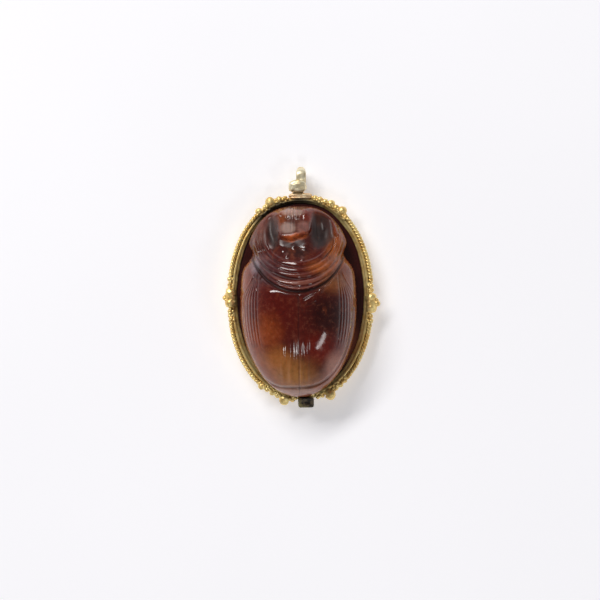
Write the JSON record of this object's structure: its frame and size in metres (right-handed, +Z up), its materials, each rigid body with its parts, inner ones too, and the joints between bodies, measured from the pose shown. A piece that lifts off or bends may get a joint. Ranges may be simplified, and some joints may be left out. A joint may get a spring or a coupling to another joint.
{
  "type": "scarab amulet",
  "caption": "Carved carnelian scarab on an oval plinth in a gold bezel with rope-wire border, grain clusters and a fixed suspension loop.",
  "frame": {"origin": "middle of the stone's flat back, on the surface that the amulet lies on", "axes": "+Y along the amulet towards the beetle's head and the loop, +Z up out of the beetle's back, +X to the right seen from above"},
  "size_m": [0.0157, 0.024, 0.0078],
  "materials": {
    "carnelian": "polished",
    "gold": "polished, worn",
    "pale_gold": "worn",
    "corroded_stub": "corroded"
  },
  "bodies": {
    "root": {"scarab_stone": "carnelian", "bezel_band": "gold", "rope_wire_upper_left": "gold", "rope_wire_upper_right": "gold", "rope_wire_lower_left": "gold", "rope_wire_lower_right": "gold", "side_boss_left": "gold", "side_boss_right": "gold", "side_tip_left": "gold", "side_tip_right": "gold", "side_grain_left_upper_1": "gold", "side_grain_left_upper_2": "gold", "side_grain_left_lower_1": "gold", "side_grain_left_lower_2": "gold", "side_grain_left_lower_3": "gold", "side_grain_right_upper_1": "gold", "side_grain_right_upper_2": "gold", "side_grain_right_lower_1": "gold", "side_grain_right_lower_2": "gold", "head_grain_left_1": "gold", "head_grain_left_2": "gold", "head_grain_left_3": "gold", "head_grain_left_4": "gold", "head_grain_left_5": "gold", "head_grain_right_1": "gold", "head_grain_right_2": "gold", "head_grain_right_3": "gold", "head_grain_right_4": "gold", "head_grain_right_5": "gold", "head_grain_right_6": "gold", "head_grain_right_7": "gold", "foot_grain_left_1": "gold", "foot_grain_left_2": "gold", "foot_grain_left_3": "gold", "foot_grain_left_4": "gold", "foot_grain_left_5": "gold", "foot_grain_left_6": "gold", "foot_grain_right_1": "gold", "foot_grain_right_2": "gold", "foot_grain_right_3": "gold", "foot_grain_right_4": "gold", "foot_grain_right_5": "gold", "foot_grain_right_6": "gold", "head_collar": "gold", "suspension_bead": "pale_gold", "suspension_loop": "pale_gold", "tail_stub": "corroded_stub"}
  },
  "joints": []
}
